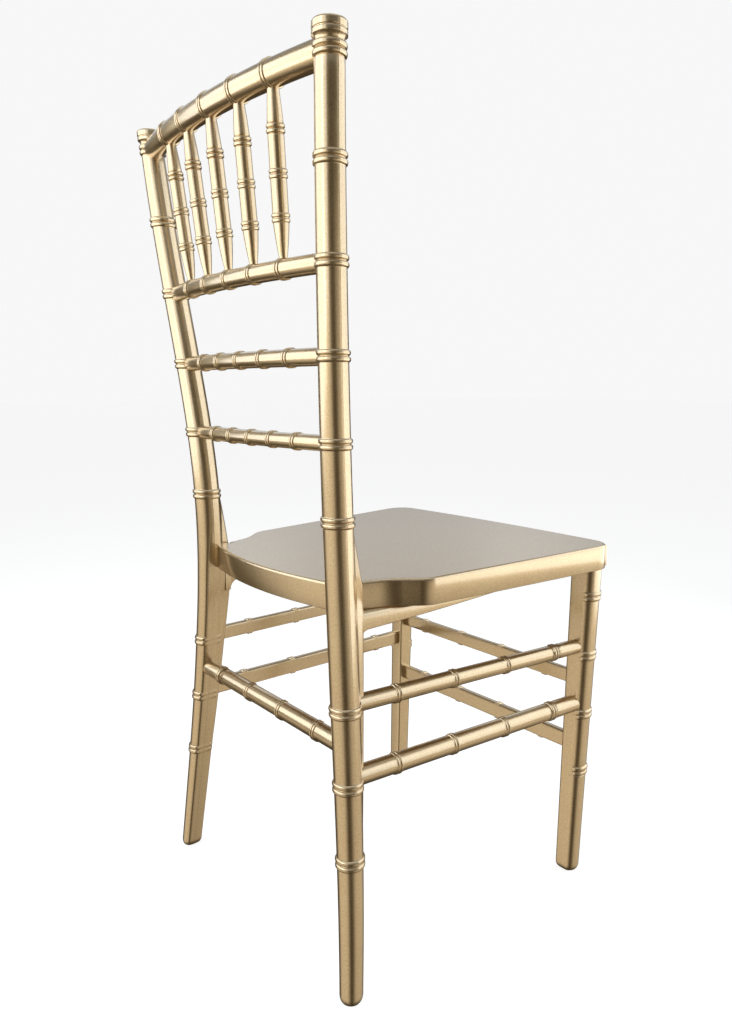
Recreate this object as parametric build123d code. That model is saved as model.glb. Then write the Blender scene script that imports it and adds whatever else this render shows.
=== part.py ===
"""Bamboo-turned resin ballroom chair, built from separate posts, rails, spindles, legs, stretchers and seat.

Millimetres, +Z up, floor at Z = 0. The chair faces -Y and the sitter's right is -X.
Right-hand pieces are modelled and mirrored. Y is counted from the rear leg line until the parts are exported.
Turned members run through many-sided sections, three of them at each ring node.
"""
import os
from math import atan, cos, degrees, radians, sin, sqrt

from build123d import *

# Rear post: half width between the post axes, set-back of the axis and radius, at five heights
HEIGHT = 907.0
KNEE_Z = 292.0
WAIST_Z = 481.0
FLOOR_HALF_WIDTH = 183.0
KNEE_HALF_WIDTH = 150.0
WAIST_HALF_WIDTH = 140.0
BACK_HALF_WIDTH = 152.5
TOP_HALF_WIDTH = 184.0
FLOOR_SETBACK = 21.5
KNEE_SETBACK = 2.5
WAIST_SETBACK = 2.5
BACK_SETBACK = 15.0
TOP_SETBACK = 38.0
FOOT_RADIUS = 12.0
KNEE_RADIUS = 15.2
WAIST_RADIUS = 15.3
TOP_RADIUS = 13.2
BEND_STEPS = 4

# Flat inner face of the rear leg, as a share of its radius, and the forward web of that leg
FLAT_SHARE = 0.8
WEB_FOOT_REACH = 13.5
WEB_KNEE_REACH = 20.0
WEB_SEAT_REACH = 25.5
WEB_WAIST_REACH = 16.5
WEB_FOOT_EDGE = 4.0
WEB_KNEE_EDGE = 6.0
WEB_TOP_SHARE = 0.6
WEB_FADE = 30.0
TOE_HEIGHT = 4.0
TOE_ROUND = 2.5

# Ring nodes and the sides of the turned sections
POST_SIDES = 20
BAR_SIDES = 16
POST_RING_HEIGHT = 12.0
POST_RING_RISE = 1.8
RAIL_RING_HEIGHT = 8.0
RAIL_RING_RISE = 1.3
LEG_RINGS = 3
LEG_RING_PITCH = 75.3
FRONT_RINGS = 4
FRONT_RING_Z = 360.0
FRONT_RING_PITCH = 74.7

# Finial, from the top down
FINIAL_RADIUS = 15.5
FINIAL_DRUM = 11.5
FINIAL_NECK = 16.0
FINIAL_COLLAR = 28.0
FINIAL_EDGE = 2.4

# Back rails: drop below the top or share of the back's height above the waist, radius and backward bow
CREST_DROP = 21.5
CREST_RADIUS = 12.3
CREST_BOW = 17.7
SPINDLE_RAIL_SHARE = 0.5622
SPINDLE_RAIL_RADIUS = 9.3
SPINDLE_RAIL_BOW = 14.2
MIDDLE_RAIL_SHARE = 0.3697
MIDDLE_RAIL_RADIUS = 8.7
MIDDLE_RAIL_BOW = 11.8
LOWER_RAIL_SHARE = 0.1784
LOWER_RAIL_RADIUS = 8.0
LOWER_RAIL_BOW = 8.5
RAIL_NODES = 5
NODE_SPACING = 0.30

# Spindles
SPINDLE_RADIUS = 7.7
SPINDLE_FOOT_RADIUS = 3.9
SPINDLE_TOP_RADIUS = 5.5
SPINDLE_RING_RISE = 1.1
SPINDLE_RING_HEIGHT = 9.0
SPINDLE_RINGS = (0.27, 0.51, 0.75)

# Front legs
FRONT_TOP_HALF_WIDTH = 174.5
FRONT_FLOOR_HALF_WIDTH = 170.5
FRONT_TOP_Y = -346.5
FRONT_FLOOR_Y = -334.5
FRONT_TOP_RADIUS = 16.4
FRONT_FLOOR_RADIUS = 13.2
FRONT_FLAT_SHARE = 0.9
CORNER_CHAMFER = 2.0
TENON_RADIUS = 8.0
TENON_LENGTH = 12.0

# Stretchers: height, radius, node spacing and flat inner face, the last two as shares of length and radius
SIDE_UPPER_Z = 296.0
SIDE_LOWER_Z = 223.0
REAR_Z = 255.0
FRONT_UPPER_Z = 252.0
FRONT_LOWER_Z = 168.0
UPPER_RADIUS = 9.1
LOWER_RADIUS = 10.5
REAR_RADIUS = 10.0
STRETCHER_NODES = 4
STRETCHER_SPACING = 0.235
STRETCHER_FLAT = 0.45

# Seat
SEAT_Z = 416.0
SEAT_SLOPE = 0.025
SEAT_FRONT = 363.0
SEAT_FRONT_BOW = 7.0
SEAT_FRONT_HALF = 201.5
SEAT_CORNER = 28.0
SHOULDER_HALF = 177.0
SHOULDER_Y = -81.0
SHOULDER_ROUND = 10.0
HOLLOW_HALF = 149.5
HOLLOW_Y = -64.0
HOLLOW_ROUND = 36.0
TAIL_HALF = 131.5
TAIL_Y = -4.0
SEAT_BACK_BOW = 12.4
SEAT_RIM = 29.0
SEAT_WALL = 4.0
SEAT_EDGE = 2.5
RIB_DEPTH = 14.0
RIB_COUNT = 3
TAIL_BLOCK = 48.0
BOSS_SIZE = 30.0

# Side braces
BRACE_HALF_WIDTH = 136.0
BRACE_THICKNESS = 14.0
BRACE_SPLAY = 0.10
BRACE_TIP = 262.0
BRACE_TIP_HEIGHT = 2.0
BRACE_DROP = 31.0
BRACE_FILLET = 9.0
BRACE_BELLY = 1.5

# Fits
FIT = 0.15
SEAT_SLIT = 0.3
HOUSING = 7.0
COVER = 1.0
SLAB = 60.0
SPAN = 1000.0

INWARD = Vector(1, 0, 0)
BACKWARD = Vector(0, 1, 0)
UPWARD = Vector(0, 0, 1)

# Heights of the rails and of the lowest ring node, and the bent axis of the right post
BACK_HEIGHT = HEIGHT - WAIST_Z
CREST_Z = HEIGHT - CREST_DROP
SPINDLE_RAIL_Z = WAIST_Z + BACK_HEIGHT * SPINDLE_RAIL_SHARE
MIDDLE_RAIL_Z = WAIST_Z + BACK_HEIGHT * MIDDLE_RAIL_SHARE
LOWER_RAIL_Z = WAIST_Z + BACK_HEIGHT * LOWER_RAIL_SHARE
LOW_RING_Z = KNEE_Z - LEG_RING_PITCH * (LEG_RINGS - 1)
POST_AXIS = Spline(
    (-FLOOR_HALF_WIDTH, FLOOR_SETBACK, 0),
    (-KNEE_HALF_WIDTH, KNEE_SETBACK, KNEE_Z),
    (-WAIST_HALF_WIDTH, WAIST_SETBACK, WAIST_Z),
    (-BACK_HALF_WIDTH, BACK_SETBACK, MIDDLE_RAIL_Z),
    (-TOP_HALF_WIDTH, TOP_SETBACK, HEIGHT),
)
BEND = [KNEE_Z + (WAIST_Z - KNEE_Z) * step / BEND_STEPS for step in range(BEND_STEPS + 1)]
WEB_TOP_Z = WAIST_Z + WEB_FADE


def between(at, stops):
    """Straight-line value at a position from (position, value) stops."""
    for (low, first), (high, last) in zip(stops, stops[1:]):
        if at <= high:
            break
    return first + (last - first) * (at - low) / (high - low)


def both_sides(piece):
    return piece + mirror(piece, about=Plane.YZ)


def turned(stations, along, across, sides):
    """A turned member through (point, radius) stations, its many-sided sections square to one direction."""
    turns = [360 / sides * (number + 0.5) for number in range(sides)]
    outlines = []
    for point, radius in stations:
        place = Plane(origin=point, x_dir=across, z_dir=along)
        spokes = [Vector(radius, 0, 0).rotate(Axis.Z, turn) for turn in turns]
        outlines.append([place.from_local_coords(spoke) for spoke in spokes])
    faces = [Face(Wire.make_polygon(outline)) for outline in (outlines[0], outlines[-1])]
    for low, high in zip(outlines, outlines[1:]):
        for number in range(sides):
            corners = low[number - 1], low[number], high[number], high[number - 1]
            faces.append(Face(Wire.make_polygon(corners)))
    return Part() + Solid(Shell(faces))


def ring(at, rise, height):
    """The stations of one ring node, as (position, rise)."""
    return [(at - height / 2, 0), (at, rise), (at + height / 2, 0)]


def beyond_flat(point_at, reach_at, heights, outward):
    """The space outside a leg's flat face, to be cut away."""
    sections = []
    for z in heights:
        centre = point_at(z) + outward * (reach_at(z) + SLAB / 2)
        sections.append(Pos(centre) * Rectangle(SLAB, SLAB))
    return loft(sections, ruled=True)


# Rear posts
def post_point(z):
    """Point of the right post's axis at height z, by halving."""
    low, high = 0.0, 1.0
    for _ in range(30):
        middle = (low + high) / 2
        low, high = (middle, high) if (POST_AXIS @ middle).Z < z else (low, middle)
    point = POST_AXIS @ low
    return Vector(point.X, point.Y, z)


def post_radius(z):
    stops = [(0, FOOT_RADIUS), (KNEE_Z, KNEE_RADIUS), (WAIST_Z, WAIST_RADIUS), (HEIGHT, TOP_RADIUS)]
    return between(z, stops)


def post_flat(z):
    return post_radius(z) * FLAT_SHARE


def web_reach(z):
    """How far the squared front of the rear leg stands forward of the axis."""
    stops = [(0, WEB_FOOT_REACH), (LOW_RING_Z, WEB_FOOT_REACH), (KNEE_Z, WEB_KNEE_REACH),
             (under_seat(0), WEB_SEAT_REACH), (SEAT_Z, WEB_SEAT_REACH), (WAIST_Z, WEB_WAIST_REACH),
             (WEB_TOP_Z, WAIST_RADIUS * WEB_TOP_SHARE)]
    return between(z, stops)


def ring_heights():
    """Heights of a post's ring nodes, from the floor up, without the finial collar."""
    leg = [KNEE_Z - LEG_RING_PITCH * number for number in reversed(range(LEG_RINGS))]
    return leg + [WAIST_Z, LOWER_RAIL_Z, MIDDLE_RAIL_Z, SPINDLE_RAIL_Z, (SPINDLE_RAIL_Z + CREST_Z) / 2]


def finial_stations():
    """Heights and radii of the post's cap: two-bead collar, neck and drum."""
    collar, neck, drum = HEIGHT - FINIAL_COLLAR, HEIGHT - FINIAL_NECK, HEIGHT - FINIAL_DRUM
    bead = (neck - collar) / 4
    crest = TOP_RADIUS + POST_RING_RISE
    return [(collar, TOP_RADIUS), (collar + bead, crest), (collar + 2 * bead, TOP_RADIUS),
            (collar + 3 * bead, crest), (neck, TOP_RADIUS), (drum, FINIAL_RADIUS),
            (HEIGHT - FINIAL_EDGE, FINIAL_RADIUS), (HEIGHT, FINIAL_RADIUS - FINIAL_EDGE)]


def post_round():
    """The round bent body of the right post, from the toe to the finial, with its ring nodes."""
    heights = [(TOE_HEIGHT, 0)] + [(z, 0) for z in BEND[1:-1]]
    for z in ring_heights():
        heights += ring(z, POST_RING_RISE, POST_RING_HEIGHT)
    stations = [(0, FOOT_RADIUS - TOE_ROUND)]
    stations += [(z, post_radius(z) + rise) for z, rise in sorted(heights)]
    stations += finial_stations()
    return turned([(post_point(z), radius) for z, radius in stations], UPWARD, INWARD, POST_SIDES)


def post_web(grow=0.0):
    """The squared front of the rear leg, fading into the round post above the seat."""
    edge = [(0, WEB_FOOT_EDGE), (KNEE_Z, WEB_KNEE_EDGE), (WEB_TOP_Z, WEB_FOOT_EDGE)]
    share = [(0, FLAT_SHARE), (WAIST_Z, FLAT_SHARE), (WEB_TOP_Z, WEB_TOP_SHARE)]
    sections = []
    for z in [0, TOE_HEIGHT, LOW_RING_Z] + BEND + [WEB_TOP_Z]:
        inset = TOE_ROUND if z == 0 else 0
        front = inset - web_reach(z) - grow
        inner = post_radius(z) * between(z, share) + grow
        outer = -(post_radius(z) - inset) * between(z, share)
        corner = -between(z, edge) - grow
        outline = Polyline((outer, 0), (corner, front), (inner, front), (inner, 0), close=True)
        sections.append(Pos(post_point(z)) * make_face(outline))
    return loft(sections, ruled=True)


def post_slit():
    """The post's room in the rear corner of the seat."""
    stations = [(post_point(z), post_radius(z) + SEAT_SLIT) for z in BEND]
    return turned(stations, UPWARD, INWARD, POST_SIDES) + post_web(SEAT_SLIT)


def rear_post():
    """The right rear post with its nodes, flats and the housings of all members that end in it."""
    flat_heights = [-TOE_HEIGHT] + BEND[:-1]
    post = post_round() - beyond_flat(post_point, post_flat, flat_heights, INWARD) + post_web()
    for rail in RAILS.values():
        post -= rail_end(rail)
    for name in ("right_upper_side_stretcher", "right_lower_side_stretcher", "rear_stretcher"):
        post -= stretcher_bar(STRETCHERS[name], FIT)
    return post - brace_blank(FIT)


# Back rails and spindles
def rail_point(rail, x):
    """Point of a rail's bowed centre line."""
    z, _, bow = rail
    end = post_point(z)
    return Vector(x, end.Y + bow * (1 - (x / end.X) ** 2), z)


def rail_end_x(rail):
    """Where the right end of a rail stops: housed in the post, and deep enough to be covered by it."""
    z, radius, _ = rail
    covered = sqrt(post_radius(z) ** 2 - radius ** 2) - COVER
    return post_point(z).X + min(post_radius(z) - HOUSING, covered)


def node_x(rail, number):
    """Position of one ring node on a rail, numbered from the right."""
    return -post_point(rail[0]).X * NODE_SPACING * (number - (RAIL_NODES - 1) / 2)


def rail_end(rail):
    """Housing of a rail's right end in the post."""
    shoulder = node_x(rail, 0) - RAIL_RING_HEIGHT / 2
    stations = [(rail_point(rail, x), rail[1] + FIT) for x in (rail_end_x(rail), shoulder)]
    return turned(stations, INWARD, BACKWARD, BAR_SIDES)


def back_rail(rail, spindle_radius=None):
    """A bowed rail, straight between its ring nodes, with housings for any spindles that end in it."""
    places = [(rail_end_x(rail), 0), (-rail_end_x(rail), 0)]
    for number in range(RAIL_NODES):
        places += ring(node_x(rail, number), RAIL_RING_RISE, RAIL_RING_HEIGHT)
    stations = [(rail_point(rail, x), rail[1] + rise) for x, rise in sorted(places)]
    bar = turned(stations, INWARD, BACKWARD, BAR_SIDES)
    if spindle_radius:
        for number in range(RAIL_NODES):
            low, high = spindle_line(number)
            stations = [(low, spindle_radius + FIT), (high, spindle_radius + FIT)]
            bar -= turned(stations, high - low, INWARD, BAR_SIDES)
    return bar


def spindle_line(number):
    """Lower and upper end of a spindle, inside the two rails that it joins."""
    lower, upper = RAILS["spindle_rail"], RAILS["crest_rail"]
    low = rail_point(lower, node_x(lower, number))
    high = rail_point(upper, node_x(upper, number))
    along = (high - low).normalized()
    return low + along * (SPINDLE_RAIL_RADIUS - HOUSING), high - along * (CREST_RADIUS - HOUSING)


def spindle(number):
    """A turned spindle: tapered ends that run into the rails and three ring nodes."""
    low, high = spindle_line(number)
    length = (high - low).length
    along = (high - low).normalized()
    places = []
    for share in SPINDLE_RINGS:
        places += ring(length * share, SPINDLE_RING_RISE, SPINDLE_RING_HEIGHT)
    stations = [(0, SPINDLE_FOOT_RADIUS), (HOUSING, SPINDLE_FOOT_RADIUS)]
    stations += [(at, SPINDLE_RADIUS + rise) for at, rise in places]
    stations += [(length - HOUSING, SPINDLE_TOP_RADIUS), (length, SPINDLE_TOP_RADIUS)]
    return turned([(low + along * at, radius) for at, radius in stations], along, INWARD, BAR_SIDES)


# Front legs
def front_point(z):
    """Point of the right front leg's axis at height z."""
    share = z / under_seat(FRONT_TOP_Y)
    x = -FRONT_FLOOR_HALF_WIDTH + (FRONT_FLOOR_HALF_WIDTH - FRONT_TOP_HALF_WIDTH) * share
    return Vector(x, FRONT_FLOOR_Y + (FRONT_TOP_Y - FRONT_FLOOR_Y) * share, z)


def front_radius(z):
    return FRONT_FLOOR_RADIUS + (FRONT_TOP_RADIUS - FRONT_FLOOR_RADIUS) * z / under_seat(FRONT_TOP_Y)


def front_flat(z):
    return front_radius(z) * FRONT_FLAT_SHARE


def front_round(top):
    """Round outside of the front leg with its ring nodes, left long at the top."""
    heights = [(TOE_HEIGHT, 0), (top, 0)]
    for number in range(FRONT_RINGS):
        heights += ring(FRONT_RING_Z - FRONT_RING_PITCH * number, POST_RING_RISE, POST_RING_HEIGHT)
    stations = [(front_point(0), FRONT_FLOOR_RADIUS - TOE_ROUND)]
    stations += [(front_point(z), front_radius(z) + rise) for z, rise in sorted(heights)]
    return turned(stations, UPWARD, INWARD, POST_SIDES)


def front_corner(top):
    """Filled inner rear corner of the front leg, between its two flat faces."""
    sections = []
    for z, inset in ((0, TOE_ROUND), (TOE_HEIGHT, 0), (top, 0)):
        size = front_flat(z) - inset
        cut = size - CORNER_CHAMFER
        outline = Polyline((0, 0), (size, 0), (size, cut), (cut, size), (0, size), close=True)
        sections.append(Pos(front_point(z)) * make_face(outline))
    return loft(sections, ruled=True)


def front_leg():
    """The right front leg: round outside with nodes, flat inner and rear faces, tenoned into the seat."""
    top = SEAT_Z
    leg = front_round(top)
    for outward in (INWARD, BACKWARD):
        leg -= beyond_flat(front_point, front_flat, (-TOE_HEIGHT, top + TOE_HEIGHT), outward)
    leg += front_corner(top)
    leg = leg - seat_space() + front_tenon()
    for name, item in STRETCHERS.items():
        if name.startswith(("right", "front")):
            leg -= stretcher_bar(item, FIT)
    return leg


def front_tenon(grow=0.0):
    """Tenon on top of the front leg, square to the seat."""
    foot = front_point(under_seat(FRONT_TOP_Y))
    outline = Pos(foot.X, foot.Y, -SEAT_RIM) * RegularPolygon(TENON_RADIUS + grow, BAR_SIDES)
    return seat_place(extrude(outline, TENON_LENGTH + grow))


# Stretchers: two end points, the radius and the outward side
def stretcher_between(first, last, first_inset, last_inset, radius, outward):
    along = (last - first).normalized()
    return first + along * first_inset, last - along * last_inset, radius, outward


def mirrored(point):
    return Vector(-point.X, point.Y, point.Z)


def side_stretcher(z, radius):
    insets = web_reach(z) - HOUSING, front_flat(z) - HOUSING
    return stretcher_between(post_point(z), front_point(z), *insets, radius, -INWARD)


def front_stretcher(z, radius):
    inset = front_flat(z) - HOUSING
    return stretcher_between(front_point(z), mirrored(front_point(z)), inset, inset, radius, -BACKWARD)


def rear_stretcher(z, radius):
    inset = post_flat(z) - HOUSING
    return stretcher_between(post_point(z), mirrored(post_point(z)), inset, inset, radius, BACKWARD)


def stretcher_bar(item, grow=0.0, rings=False):
    """A stretcher, round outside and flat inside, plain or with its ring nodes."""
    first, last, radius, outward = item
    length = (last - first).length
    along = (last - first).normalized()
    places = [(0, 0), (length, 0)]
    for number in range(STRETCHER_NODES if rings else 0):
        share = 0.5 + STRETCHER_SPACING * (number - (STRETCHER_NODES - 1) / 2)
        places += ring(length * share, RAIL_RING_RISE, RAIL_RING_HEIGHT)
    stations = [(first + along * at, radius + rise + grow) for at, rise in sorted(places)]
    flat = -radius * STRETCHER_FLAT - grow
    waste = Pos(flat - SLAB / 2, 0, length / 2) * Box(SLAB, SLAB, length * 2)
    place = Plane(origin=first, x_dir=outward, z_dir=along)
    return turned(stations, along, outward, BAR_SIDES) - place * waste


# Seat
def under_seat(y):
    """Height of the seat's lower edge at a given Y."""
    return SEAT_Z - SEAT_RIM - SEAT_SLOPE * y


def seat_place(shape):
    """Moves a shape from the level seat to the tilted seat."""
    return Pos(0, 0, SEAT_Z) * Rot(-degrees(atan(SEAT_SLOPE)), 0, 0) * shape


def seat_space():
    """Everything above the seat's lower edge."""
    return seat_place(Pos(0, 0, SLAB / 2 - SEAT_RIM) * Box(SPAN, SPAN, SLAB))


def seat_outline(inset=0.0):
    """Plan of the seat: bowed front and back, rounded front corners, shoulders scooped in to the posts."""
    front = (SEAT_FRONT_HALF - inset, inset - SEAT_FRONT)
    shoulder = (SHOULDER_HALF - inset, SHOULDER_Y - inset)
    hollow = (HOLLOW_HALF - inset, HOLLOW_Y - inset)
    tail = (TAIL_HALF - inset, TAIL_Y - inset)
    side = Polyline(front, shoulder, hollow, tail)
    face = make_face([
        ThreePointArc((-front[0], front[1]), (0, front[1] - SEAT_FRONT_BOW), front),
        side,
        ThreePointArc(tail, (0, SEAT_BACK_BOW - inset), (-tail[0], tail[1])),
        mirror(side, about=Plane.YZ),
    ])
    for corner, radius in ((front, SEAT_CORNER - inset), (shoulder, SHOULDER_ROUND), (hollow, HOLLOW_ROUND)):
        for x in (corner[0], -corner[0]):
            face = fillet(face.vertices().sort_by_distance((x, corner[1], 0))[0], radius)
    return face


def seat_hollow():
    """The open underside of the level seat: left solid at the tail, ribs, brace pads and front bosses."""
    hollow = Pos(0, 0, -SEAT_RIM) * extrude(seat_outline(SEAT_WALL), SEAT_RIM - SEAT_WALL)
    hollow -= Pos(0, SLAB / 2 - TAIL_BLOCK, 0) * Box(SPAN, SLAB, SLAB)
    hollow -= both_sides(brace_pad())
    for number in range(1, RIB_COUNT + 1):
        y = -TAIL_BLOCK - (SEAT_FRONT - TAIL_BLOCK) * number / (RIB_COUNT + 1)
        hollow -= Pos(0, y, -RIB_DEPTH / 2) * Box(SPAN, SEAT_WALL, RIB_DEPTH)
    foot = front_point(under_seat(FRONT_TOP_Y))
    return hollow - both_sides(Pos(foot.X, foot.Y, -SEAT_RIM / 2) * Box(BOSS_SIZE, BOSS_SIZE, SEAT_RIM))


def seat():
    """Moulded seat pan: eased rim, hollow ribbed underside, front tenon holes and room for the posts."""
    pan = extrude(seat_outline(), -SEAT_RIM)
    pan = chamfer(pan.faces().sort_by(Axis.Z)[-1].edges(), SEAT_EDGE)
    part = seat_place(pan - seat_hollow())
    for cut in (front_tenon(FIT), post_slit()):
        part -= both_sides(cut)
    return part


# Side braces
def brace_x(y):
    return -BRACE_HALF_WIDTH + BRACE_SPLAY * y


def brace_pad():
    """Underside rib of the level seat that sits on the right brace."""
    half = BRACE_THICKNESS / 2
    outline = Polyline(
        (brace_x(0) - half, 0), (brace_x(0) + half, 0), (brace_x(-BRACE_TIP) + half, -BRACE_TIP),
        (brace_x(-BRACE_TIP) - half, -BRACE_TIP), close=True,
    )
    return extrude(make_face(outline), -SEAT_RIM)


def brace_blank(grow=0.0):
    """The right brace: flat top under the seat, lower edge curving off the post and rising to a thin tip."""
    face = post_point(under_seat(0)).Y - WEB_SEAT_REACH
    start = face + HOUSING
    low = under_seat(0) - BRACE_DROP - grow
    knee = (face - BRACE_FILLET, low + BRACE_FILLET)
    half_way = (knee[0] + BRACE_FILLET * cos(radians(45)), low + BRACE_FILLET * sin(radians(45)))
    tip = (-BRACE_TIP, under_seat(-BRACE_TIP) - BRACE_TIP_HEIGHT)
    middle = ((knee[0] + tip[0]) / 2, (knee[1] + tip[1]) / 2 - BRACE_BELLY)
    edges = [
        Polyline((face, low), (start, low), (start, SEAT_Z), (-BRACE_TIP, SEAT_Z), tip),
        ThreePointArc(tip, middle, knee),
        ThreePointArc(knee, half_way, (face, low)),
    ]
    plate = extrude(Plane.YZ * make_face(edges), BRACE_THICKNESS / 2 + grow, both=True)
    turn = Rot(0, 0, -degrees(atan(BRACE_SPLAY)))
    return Pos(brace_x(0), 0, 0) * turn * plate - seat_space()


RAILS = {
    "crest_rail": (CREST_Z, CREST_RADIUS, CREST_BOW),
    "spindle_rail": (SPINDLE_RAIL_Z, SPINDLE_RAIL_RADIUS, SPINDLE_RAIL_BOW),
    "middle_rail": (MIDDLE_RAIL_Z, MIDDLE_RAIL_RADIUS, MIDDLE_RAIL_BOW),
    "lower_rail": (LOWER_RAIL_Z, LOWER_RAIL_RADIUS, LOWER_RAIL_BOW),
}
SPINDLE_ENDS = {"crest_rail": SPINDLE_TOP_RADIUS, "spindle_rail": SPINDLE_FOOT_RADIUS}
STRETCHERS = {
    "right_upper_side_stretcher": side_stretcher(SIDE_UPPER_Z, UPPER_RADIUS),
    "right_lower_side_stretcher": side_stretcher(SIDE_LOWER_Z, LOWER_RADIUS),
    "front_upper_stretcher": front_stretcher(FRONT_UPPER_Z, UPPER_RADIUS),
    "front_lower_stretcher": front_stretcher(FRONT_LOWER_Z, LOWER_RADIUS),
    "rear_stretcher": rear_stretcher(REAR_Z, REAR_RADIUS),
}


def chair():
    """Every piece by name, in the frame of the rear leg line."""
    parts = {"seat": seat()}
    for name, rail in RAILS.items():
        parts[name] = back_rail(rail, SPINDLE_ENDS.get(name))
    for number in range(RAIL_NODES):
        parts[f"spindle_{number + 1}"] = spindle(number)
    right = {"rear_post": rear_post(), "front_leg": front_leg(), "side_brace": brace_blank()}
    for name, item in STRETCHERS.items():
        piece = stretcher_bar(item, rings=True)
        if name.startswith("right_"):
            right[name.removeprefix("right_")] = piece
        else:
            parts[name] = piece
    for name, piece in right.items():
        parts[f"right_{name}"] = piece
        parts[f"left_{name}"] = mirror(piece, about=Plane.YZ)
    return parts


def main():
    parts = chair()
    box = Compound(children=[solid for piece in parts.values() for solid in piece.solids()]).bounding_box()
    to_origin = Pos(0, -box.center().Y, 0)
    os.makedirs("parts", exist_ok=True)
    for name, piece in parts.items():
        export_step(to_origin * piece, f"parts/{name}.step")


if __name__ == "__main__":
    main()
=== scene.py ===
"""Bamboo-turned resin ballroom chair: turned pieces, moulded seat, gold finish, studio and camera."""
import math

import bmesh
import bpy
import numpy as np
from mathutils import Matrix, Vector


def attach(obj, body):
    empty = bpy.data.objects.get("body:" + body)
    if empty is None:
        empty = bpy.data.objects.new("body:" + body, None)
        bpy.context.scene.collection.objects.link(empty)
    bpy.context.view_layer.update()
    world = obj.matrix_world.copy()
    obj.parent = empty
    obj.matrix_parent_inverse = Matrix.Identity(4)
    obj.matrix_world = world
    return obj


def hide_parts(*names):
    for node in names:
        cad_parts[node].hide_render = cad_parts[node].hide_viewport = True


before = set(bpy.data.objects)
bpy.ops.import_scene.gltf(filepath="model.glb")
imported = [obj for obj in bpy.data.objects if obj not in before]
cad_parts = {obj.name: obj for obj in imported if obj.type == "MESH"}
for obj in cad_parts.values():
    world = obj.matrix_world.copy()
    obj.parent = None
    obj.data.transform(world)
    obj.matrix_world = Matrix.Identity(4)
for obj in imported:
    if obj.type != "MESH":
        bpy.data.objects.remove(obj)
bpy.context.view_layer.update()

# Sizes in millimetres. Y is counted from the rear leg line, and moved to the frame's origin in each mesh
MM = 0.001
SHIFT = 151.36

# Rear posts: heights, axis as (x, y, z) of the right post, radii and finial measured from the top
HEIGHT = 907.0
KNEE_Z = 292.0
WAIST_Z = 481.0
BACK_HEIGHT = HEIGHT - WAIST_Z
CREST_DROP = 21.5
SPINDLE_RAIL_SHARE = 0.5622
MIDDLE_RAIL_SHARE = 0.3697
LOWER_RAIL_SHARE = 0.1784
CREST_Z = HEIGHT - CREST_DROP
SPINDLE_RAIL_Z = WAIST_Z + SPINDLE_RAIL_SHARE * BACK_HEIGHT
MIDDLE_RAIL_Z = WAIST_Z + MIDDLE_RAIL_SHARE * BACK_HEIGHT
LOWER_RAIL_Z = WAIST_Z + LOWER_RAIL_SHARE * BACK_HEIGHT
POST_POINTS = [(-183, 21.5, 0), (-150, 2.5, KNEE_Z), (-140, 2.5, WAIST_Z), (-152.5, 15, MIDDLE_RAIL_Z),
               (-184, 38, HEIGHT)]
FOOT_RADIUS = 12.0
KNEE_RADIUS = 15.2
WAIST_RADIUS = 15.3
TOP_RADIUS = 13.2
LEG_RINGS = 3
LEG_RING_PITCH = 75.3
LOW_RING_Z = KNEE_Z - (LEG_RINGS - 1) * LEG_RING_PITCH
FINIAL_RADIUS = 15.5
FINIAL_EDGE = 2.4
FINIAL_GROOVE = 7.4
FINIAL_GROOVE_DEPTH = 0.8
FINIAL_GROOVE_WIDTH = 0.6
FINIAL_DRUM = 11.5
FINIAL_NECK = 16.0
FINIAL_FLARE = 2.2
COLLAR_DROP = 22.0
COLLAR_Z = HEIGHT - COLLAR_DROP
NECK_HOLLOW = 0.7
TOE_HEIGHT = 8.0
TOE_ROUND = 4.5
SEAM = 0.16

# Flat inner face of the rear leg as a share of its radius, and the reach and edges of its forward web
FLAT_SHARE = 0.8
FLAT_FADE_SHARE = 1.2
FLAT_SOFTNESS = 2.0
WEB_RISE = 30.0
WEB_TOP_Z = WAIST_Z + WEB_RISE
WEB_TOP_SHARE = 0.6
WEB_FOOT_REACH = 11.0
WEB_SHIN_REACH = 13.5
WEB_KNEE_REACH = 20.0
WEB_SEAT_REACH = 25.5
WEB_WAIST_REACH = 16.5
WEB_SOFTNESS = 0.4
WEB_FOOT_EDGE = 4.0
WEB_KNEE_EDGE = 6.0
WEB_FIN_EDGE = 2.5
WEB_CORNER = 7.0
FIN_STEP = 1.0

# Ring nodes
RING_HEIGHT = 12.0
RING_RISE = 1.8
RAIL_RING_HEIGHT = 8.0
RAIL_RING_RISE = 1.3
BEAD_FULLNESS = 2.6
GROOVE_DEPTH = 0.5
GROOVE_WIDTH = 0.45

# Back rails as (height, radius, backward bow), and the spindles
RAILS = {
    "crest_rail": (CREST_Z, 12.3, 17.7),
    "spindle_rail": (SPINDLE_RAIL_Z, 9.3, 14.2),
    "middle_rail": (MIDDLE_RAIL_Z, 8.7, 11.8),
    "lower_rail": (LOWER_RAIL_Z, 8.0, 8.5),
}
NODE_SPACING = 0.30
NODES = 5
SPINDLE_RADIUS = 7.7
SPINDLE_FOOT_RADIUS = 3.9
SPINDLE_TOP_RADIUS = 5.5
SPINDLE_FOOT_CURVE = 1.5
SPINDLE_TOP_CURVE = 1.4
SPINDLE_RINGS = (0.27, 0.51, 0.75)
SPINDLE_RING_HEIGHT = 9.0
SPINDLE_RING_RISE = 1.1

# Front legs: axis at the floor and under the seat, radii and flats
FRONT_FLOOR = (-170.5, -334.5)
FRONT_TOP = (-174.5, -346.5)
FRONT_FLOOR_RADIUS = 13.2
FRONT_TOP_RADIUS = 16.4
FRONT_FLAT_SHARE = 0.9
FRONT_CHAMFER = 2.0
FRONT_SOFTNESS = 0.6
FRONT_RINGS = 4
FRONT_RING_Z = 360.0
FRONT_RING_PITCH = 74.7

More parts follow.
